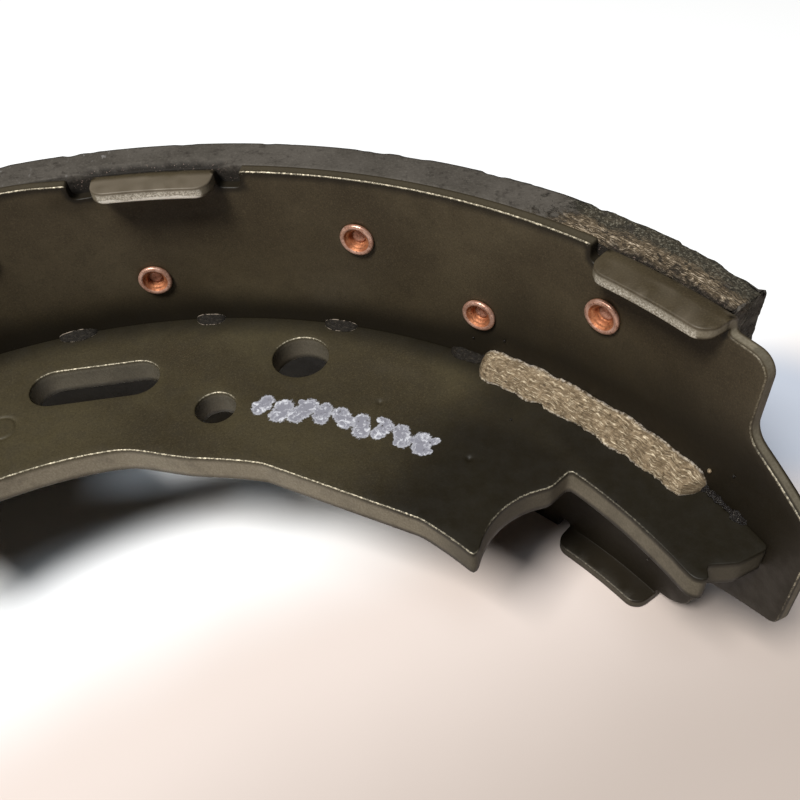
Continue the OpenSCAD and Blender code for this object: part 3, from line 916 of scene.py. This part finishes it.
# ---------------------------------------------------------------- lining
def make_lining():
    half = math.radians(LINING_DEG) * TABLE_OUT
    outline = rounded([(x * half, y * HALF_W, 1.0) for x, y in ((-1, -1), (1, -1), (1, 1), (-1, 1))])
    loops = [(turned(resample(outline, 0.6), True), edge_profile(LINING_T, 0.35, 3, 14))]
    # Each recess narrows at its seat and opens a little on the table's side.
    inset = SHANK_R - RECESS_R
    recess = [(inset, 0, 1, 1), (inset, SEAT_T, 1, 1), (0, SEAT_T, 1, 1)]
    recess += [(0, (SEAT_T + LINING_T) / 2, 1, 1), (0, LINING_T - 0.2, 1, 1), (0.25, LINING_T, 1, 0)]
    for _, deg, z in rivet_places():
        loops.append((circle_loop((math.radians(deg) * TABLE_OUT, z), RECESS_R, 40), recess))
    flat, faces, _, _ = plate(loops, 2.6)
    turn, z, depth = flat[:, 0] / TABLE_OUT, flat[:, 1].copy(), flat[:, 2]
    deg = np.degrees(turn)
    off = np.abs(deg)
    r = TABLE_OUT + depth
    outer = depth / LINING_T
    on_side = np.abs(z) > HALF_W - 1.2
    # The corner above each end is worn away.
    z -= np.sign(z) * on_side * 2.3 * smoothstep(49.0, 54.5, off) * outer
    base = np.column_stack([flat[:, 0] * 0.8, z, r])
    beside_tab = np.zeros(len(flat))
    for at, length, _ in TABS:
        reach = length / 2 / TABLE_OUT
        away = np.abs(turn - math.radians(at))
        beside_tab = np.maximum(beside_tab, smoothstep(reach + 0.03, reach - 0.005, away))
    torn = (0.30 * smoothstep(26, 34, off) + 0.7 * smoothstep(36, 42, off)) * on_side
    torn = np.where(np.abs(flat[:, 0]) > half - 0.5, 0.45, torn)
    ragged_up = np.where(off < 14, 0.17, 0.08) + 0.16 * grain(base, 1.4, 61, 3)
    # Painted shade: the crevice beside each tab is painted nearly black
    crevice_and_painted_shade = beside_tab * smoothstep(ragged_up + 0.05, ragged_up - 0.05, outer) * on_side
    rough = 0.10 + 0.55 * torn + 0.25 * crevice_and_painted_shade
    bite = grain(base, 2.2, 21, 4) * 0.6 + grain(base, 0.9, 22, 2) * 0.4
    pits = np.minimum(0, grain(base, 4.0, 25, 3) + 0.15)
    drop = rough * (0.5 + 0.5 * bite) * 0.9 - torn * pits * 2.2 + crevice_and_painted_shade * 0.8
    # Painted shade: the lining's face against the table near its sides is painted dark with the crevice
    under = (depth < 0.3) & (np.abs(z) > 42) & ~on_side
    z = np.where(on_side, z - np.sign(z) * np.clip(drop, 0, 2.6), z)
    # The outer edge and the ends are chipped here and there.
    lip = smoothstep(0.75, 1.0, outer) * smoothstep(HALF_W - 4, HALF_W, np.abs(flat[:, 1]))
    chip = np.maximum(0, grain(base * (1, 0.4, 0.4), 5.0, 31, 3) - 0.12)
    r = r - lip * (chip * 1.6 + torn * 0.35 * (1 + grain(base, 1.2, 33, 2)))
    at_end = np.abs(flat[:, 0]) > half - 0.9
    pull = at_end * (0.35 + 0.35 * grain(base, 1.6, 41, 3)) * 1.2
    angle = turn - np.sign(turn) * pull / TABLE_OUT
    points = np.column_stack([r * np.sin(angle), r * np.cos(angle), z])
    marks = {
        "flat": flat,
        "torn": np.clip(torn * (0.75 + 0.5 * grain(base, 5, 51)), 0, 1),
        "scuffed": on_side * smoothstep(-8, -18, deg) + on_side * smoothstep(4, 0, np.abs(deg + 6)),
        "crevice_and_painted_shade": np.where(under, 0.9, crevice_and_painted_shade),
        "lip": smoothstep(0.86, 1.0, outer) * on_side,
    }
    piece = mesh_piece("lining_block", points, faces, marks, [LINING])
    fit_out(piece, "friction_lining")


# ---------------------------------------------------------------- rivets
def lathe(profile, sides, wobble, seed):
    """Closed solid turned from (radius, height, mark) points, the first and last on the axis."""
    angles = np.linspace(0, 2 * math.pi, sides, endpoint=False)
    rows = []
    for k, (radius, height, mark) in enumerate(profile):
        turns = angles[:1] if k in (0, len(profile) - 1) else angles
        rows += [(radius * math.cos(a), radius * math.sin(a), height, mark) for a in turns]
    points, marks = np.array(rows)[:, :3], np.array(rows)[:, 3]
    shift = grain(points + seed * 17.3, 2.2, seed, 2) * wobble
    points[:, :2] *= (1 + shift / np.maximum(np.hypot(points[:, 0], points[:, 1]), 1.0))[:, None]
    last = len(points) - 1
    rings = range(1, last, sides)
    faces = []
    for i in range(sides):
        j = (i + 1) % sides
        faces.append([0, rings[0] + j, rings[0] + i])
        faces += [[a + i, a + j, b + j, b + i] for a, b in zip(rings, rings[1:])]
        faces.append([rings[-1] + i, rings[-1] + j, last])
    return points, faces, marks


def rivet_profile():
    """(radius, height, ring or inside), from the hollow's floor, over the rolled end, to the head."""
    roll_mid, roll_r, roll_rise = 3.72, 0.68, 0.5
    low = TABLE_IN - 1.23
    floor = low + 2.2
    seat, top = TABLE_OUT + SEAT_T, TABLE_OUT + SEAT_T + HEAD_T
    # A raised, pale middle in the floor, and a dark gap around it
    line = [(0, floor + 0.2, 0.8), (1.0, floor + 0.1, 0.85), (1.6, floor - 0.1, 0.8)]
    line += [(1.75, floor + 0.2, 0.0), (2.0, floor + 0.2, 0.0), (HOLLOW_R + 0.05, floor - 0.5, 0.0)]
    # The funnel's mouth
    line += [(2.3, low + 1.0, 0.1), (2.6, low + 0.75, 0.5), (2.9, low + 0.72, 0.3)]
    line.append((3.02, low + 0.5, 0.1))
    for deg in np.linspace(200, 380, 11):
        a = math.radians(deg)
        height = low + roll_rise + roll_rise * math.sin(a)
        line.append((roll_mid + roll_r * math.cos(a), height, 1.0 if deg > 225 else 0.5))
    line += [(ROLLED_R - 0.03, low + 1.0, 0.3), (SHANK_R + 0.5, TABLE_IN - 0.06, 0.2)]
    line += [(SHANK_R, TABLE_IN, 0.2), (SHANK_R, seat, 0.2), (HEAD_R - 0.3, seat, 0.3)]
    line += [(HEAD_R, seat + 0.3, 0.6), (HEAD_R, top - 0.35, 0.7)]
    line += [(HEAD_R - 0.35, top, 0.8), (HEAD_R * 0.5, top, 0.8), (0, top, 0.8)]
    return line


def make_rivets():
    profile = rivet_profile()
    for i, (name, deg, z) in enumerate(rivet_places()):
        points, faces, marks = lathe(profile, 40, 0.05, i)
        a = math.radians(deg)
        across = np.array((math.cos(a), -math.sin(a), 0))
        out = np.array((math.sin(a), math.cos(a), 0))
        placed = points[:, :1] * across + points[:, 1:2] * (0, 0, 1) + points[:, 2:] * out + (0, 0, z)
        piece = mesh_piece("copper_" + name, placed, faces, {"rim": marks}, [COPPER])
        fit_out(piece, name)


# ---------------------------------------------------------------- welds
def bead(from_deg, to_deg, web_leg, table_leg, step_mm, ends, rough, seed, across=22, belly=0.35):
    """Weld bead in the corner of the web and the table. ends is the length of its rounded ends in
    millimetres. Returns points of shoe space for the upper side, faces and marks."""
    span = math.radians(to_deg - from_deg) * TABLE_IN
    rows = max(6, int(span / step_mm))
    points, marks, flats = [], [], []
    for k in range(rows + 1):
        t = k / rows
        from_end = min(t, 1 - t) * span
        full = math.sqrt(max(0.0, 1 - max(0.0, 1 - from_end / ends) ** 2))
        deg = from_deg + (to_deg - from_deg) * t
        for j in range(across + 1):
            s = j / across
            bulge = math.sin(math.pi * s)
            swell = belly * 0.5 * bulge
            down = web_leg * full * (1 - s + swell)
            rise = table_leg * full * (s + swell)
            points.append((deg, TABLE_IN - down, WEB_FACE + rise))
            marks.append((bulge, full))
            flats.append((span * t, s * (web_leg + table_leg) * 0.8, 0))
        points.append((deg, TABLE_IN + 0.6, WEB_FACE - 0.6))
        marks.append((0, full))
        flats.append((span * t, 0, 0))
    points, marks, flats = np.array(points), np.array(marks), np.array(flats)
    base = flats + (seed * 31.0, seed * 7.0, 0)
    bulge, full = marks[:, 0], marks[:, 1]
    lump = grain(base, 1.5, seed, 3) * 0.55 + grain(base, 0.6, seed + 3, 2) * 0.45
    lump = lump + 0.5 * np.sin(flats[:, 0] * 2 * math.pi / 2.3 + 2.5 * np.sin(flats[:, 1] * 0.5))
    push = rough * lump * np.sqrt(bulge) * full
    points[:, 1] -= push * 0.75
    points[:, 2] += push * 0.65
    # The toes wander over the web and the table.
    wander = grain(base * (1, 0, 0) + (0, seed, 0), 2.0, seed + 9, 3) * rough * 2.2
    toe = np.clip(1 - bulge * 1.6, 0, 1) * full
    on_web = toe * (flats[:, 1] < web_leg * 0.4)
    on_table = toe * (flats[:, 1] >= web_leg * 0.4)
    points[:, 1] -= wander * on_web
    points[:, 2] += wander * on_table * 0.8
    points[:, 1] = np.minimum(points[:, 1], TABLE_IN + 0.6)
    a = np.radians(points[:, 0])
    placed = np.column_stack([points[:, 1] * np.sin(a), points[:, 1] * np.cos(a), points[:, 2]])
    faces, stride = [], across + 2
    for k in range(rows):
        for j in range(stride):
            n = (j + 1) % stride
            faces.append([k * stride + j, k * stride + n, (k + 1) * stride + n, (k + 1) * stride + j])
    faces += [list(range(stride)), list(range(rows * stride, (rows + 1) * stride))[::-1]]
    return placed, faces, {"rim": np.clip(1 - bulge * 2.2, 0, 1), "flat": flats}


def blob(centre, radius, seed):
    """Small rough ball of spatter."""
    made = bmesh.new()
    bmesh.ops.create_icosphere(made, subdivisions=2, radius=radius)
    points = np.array([v.co for v in made.verts])
    faces = [[v.index for v in f.verts] for f in made.faces]
    made.free()
    points *= (1 + 0.25 * grain(points + seed, radius, seed, 2))[:, None]
    return points + centre, faces, {"rim": np.zeros(len(points)), "flat": points * (1, 1, 0)}


def place_weld(name, node, parts, signs, materials):
    """Makes one piece of (part, material's number) pairs, mirrored by the signs of x and z."""
    points, faces, kinds, count = [], [], [], 0
    marks = {"rim": [], "flat": []}
    for (part_points, part_faces, part_marks), kind in parts:
        points.append(part_points)
        faces += [[v + count for v in face] for face in part_faces]
        kinds += [kind] * len(part_faces)
        for key in marks:
            marks[key].append(part_marks[key])
        count += len(part_points)
    marks = {key: np.concatenate(values) for key, values in marks.items()}
    mirrored = np.vstack(points) * (signs[0], 1, signs[1])
    fit_out(mesh_piece(name, mirrored, faces, marks, materials, kinds), node)


def make_fillet_welds():
    start, stop = BEAD_DEGS
    for side, sign_z in SIDES:
        for end, sign_x in (("right", 1), ("left", -1)):
            seed = 3 + (sign_x > 0) + 2 * (sign_z > 0)
            main = bead(start - 0.6, stop, *BEAD_LEGS, 0.3, 4.0, 0.42, seed, 26)
            tail = bead(stop - 1.2, stop + 4.6, 1.5, 1.1, 0.35, 2.5, 0.6, seed + 20, 12)
            lead = bead(start - 3.0, start - 0.1, 1.4, 1.0, 0.35, 2.0, 0.5, seed + 30, 12)
            parts = [(main, 0), (tail, 1), (lead, 1)]
            for k in range(5):
                deg = dice.uniform(start - 2, stop + 4)
                size = dice.uniform(0.18, 0.34)
                if k % 3:
                    centre = (*on_arc(TABLE_IN - size * 0.5, deg), dice.uniform(8.5, 14))
                else:
                    centre = (*on_arc(dice.uniform(128, 137), deg), WEB_FACE + size * 0.5)
                parts.append((blob(centre, size, k + seed), 1))
            stray = (*on_arc(TABLE_IN - 0.4, stop - 0.1), 9.8)
            parts.append((blob(stray, 0.5, seed), 0))
            node = f"fillet_weld_{side}_{end}"
            place_weld("bead_" + node, node, parts, (sign_x, sign_z), [WELD, SLAG])


def make_spot_welds():
    for side, sign_z in SIDES:
        for i, deg in enumerate(SPOT_DEGS):
            reach = 1.85 + 0.25 * math.sin(i * 2.1)
            # The first and last are burnt rough, and the last has the faintest outline.
            rough = 0.28 if abs(i - 2) == 2 else 0.10
            part = bead(deg - reach, deg + reach, 3.0, 1.5, 0.3, reach * 2.2, rough, 50 + i, 14, 0.15)
            part[2]["rim"] *= 0.45 if i == 4 else 1.0
            node = f"spot_weld_{side}_{i + 1}"
            place_weld("nugget_" + node, node, [(part, 0)], (1, sign_z), [SPOT])


# ---------------------------------------------------------------- stage, lights, camera
def make_stage():
    """Pale floor with painted shade: warmer and darker towards the front right, and a cool painted
    shadow patch to the right of the shoe.
    """
    m = Finish("pale_floor")
    axes = m.axes(m.place)
    cloud = m.scaled(m.noise(180.0, 3.0, 0.5), 50.0, -25.0)
    # Painted shade: warmer and darker towards the front right
    corner = m.scaled(axes["X"], 0.5, m.times(axes["Y"], -1.0))
    corner = m.plus(corner, cloud)
    colour = m.blend(m.between(corner, -4.0, 56.0), (0.92, 0.93, 0.94), (0.66, 0.575, 0.53))
    colour = m.tint(colour, (0.44, 0.375, 0.335), corner, 50.0, 136.0)
    # Painted shadow: a cool patch to the right of the shoe
    painted_shadow_patch = {0: m.place, 1: (172.0, 40.0, 0.0)}
    far = add(m.tree, "ShaderNodeVectorMath", painted_shadow_patch, operation="DISTANCE").outputs["Value"]
    away = m.plus(far, m.times(cloud, 0.3))
    colour = m.tint(colour, (0.42, 0.47, 0.56), away, 42.0, 14.0, 0.9)
    material = m.surface(colour, 0.7, 0.0, m.bump(m.noise(2.0, 3.0), 0.02, 0.2))
    made = bmesh.new()
    bmesh.ops.create_grid(made, x_segments=8, y_segments=8, size=FLOOR_HALF)
    mesh = bpy.data.meshes.new("floor")
    made.to_mesh(mesh)
    made.free()
    mesh.materials.append(material)
    floor = bpy.data.objects.new("floor", mesh)
    floor.location.z = -FLOOR_GAP
    bpy.context.scene.collection.objects.link(floor)


def make_lights():
    """Main lamp over the front left, a smaller cool one overhead, and hardly any fill."""
    world = bpy.data.worlds.new("studio")
    world.use_nodes = True
    back = world.node_tree.nodes["Background"]
    back.inputs["Color"].default_value = (0.86, 0.93, 1.0, 1)
    back.inputs["Strength"].default_value = FILL
    bpy.context.scene.world = world
    target = Vector((0.0, 0.0, 0.05))
    for name, (way, far, side, power, colour) in LAMPS.items():
        lamp = bpy.data.lights.new(name, "AREA")
        lamp.shape = "SQUARE"
        lamp.size = side
        lamp.energy = power
        lamp.color = colour
        away = Vector(way).normalized() * far
        holder = bpy.data.objects.new(name, lamp)
        holder.location = target + away
        holder.rotation_euler = (-away).to_track_quat("-Z", "Y").to_euler()
        bpy.context.scene.collection.objects.link(holder)


def make_camera():
    """Camera at the photograph's viewing angle."""
    yaw, pitch, roll = -3.13, -46.58, -5.35
    spot = Vector((64.207, -145.965, 212.004)) * MM
    a, e, t = (math.radians(v) for v in (yaw, pitch, roll))
    ahead = Vector((math.sin(a) * math.cos(e), math.cos(a) * math.cos(e), math.sin(e)))
    level = Vector((math.cos(a), -math.sin(a), 0))
    up = level.cross(ahead)
    right = math.cos(t) * level + math.sin(t) * up
    top = -math.sin(t) * level + math.cos(t) * up
    turn = Matrix((right, top, -ahead)).transposed().to_4x4()
    lens = bpy.data.cameras.new("photo_camera")
    lens.sensor_width = 36.0
    lens.lens = 878.226 / 800 * lens.sensor_width
    lens.clip_start, lens.clip_end = 0.01, 20
    camera = bpy.data.objects.new("photo_camera", lens)
    camera.matrix_world = Matrix.Translation(spot) @ turn
    bpy.context.scene.collection.objects.link(camera)
    bpy.context.scene.camera = camera


make_camera()
make_web()
make_table()
make_lining()
make_rivets()
make_fillet_welds()
make_spot_welds()
make_stage()
make_lights()
bpy.context.scene.view_settings.view_transform = "Standard"
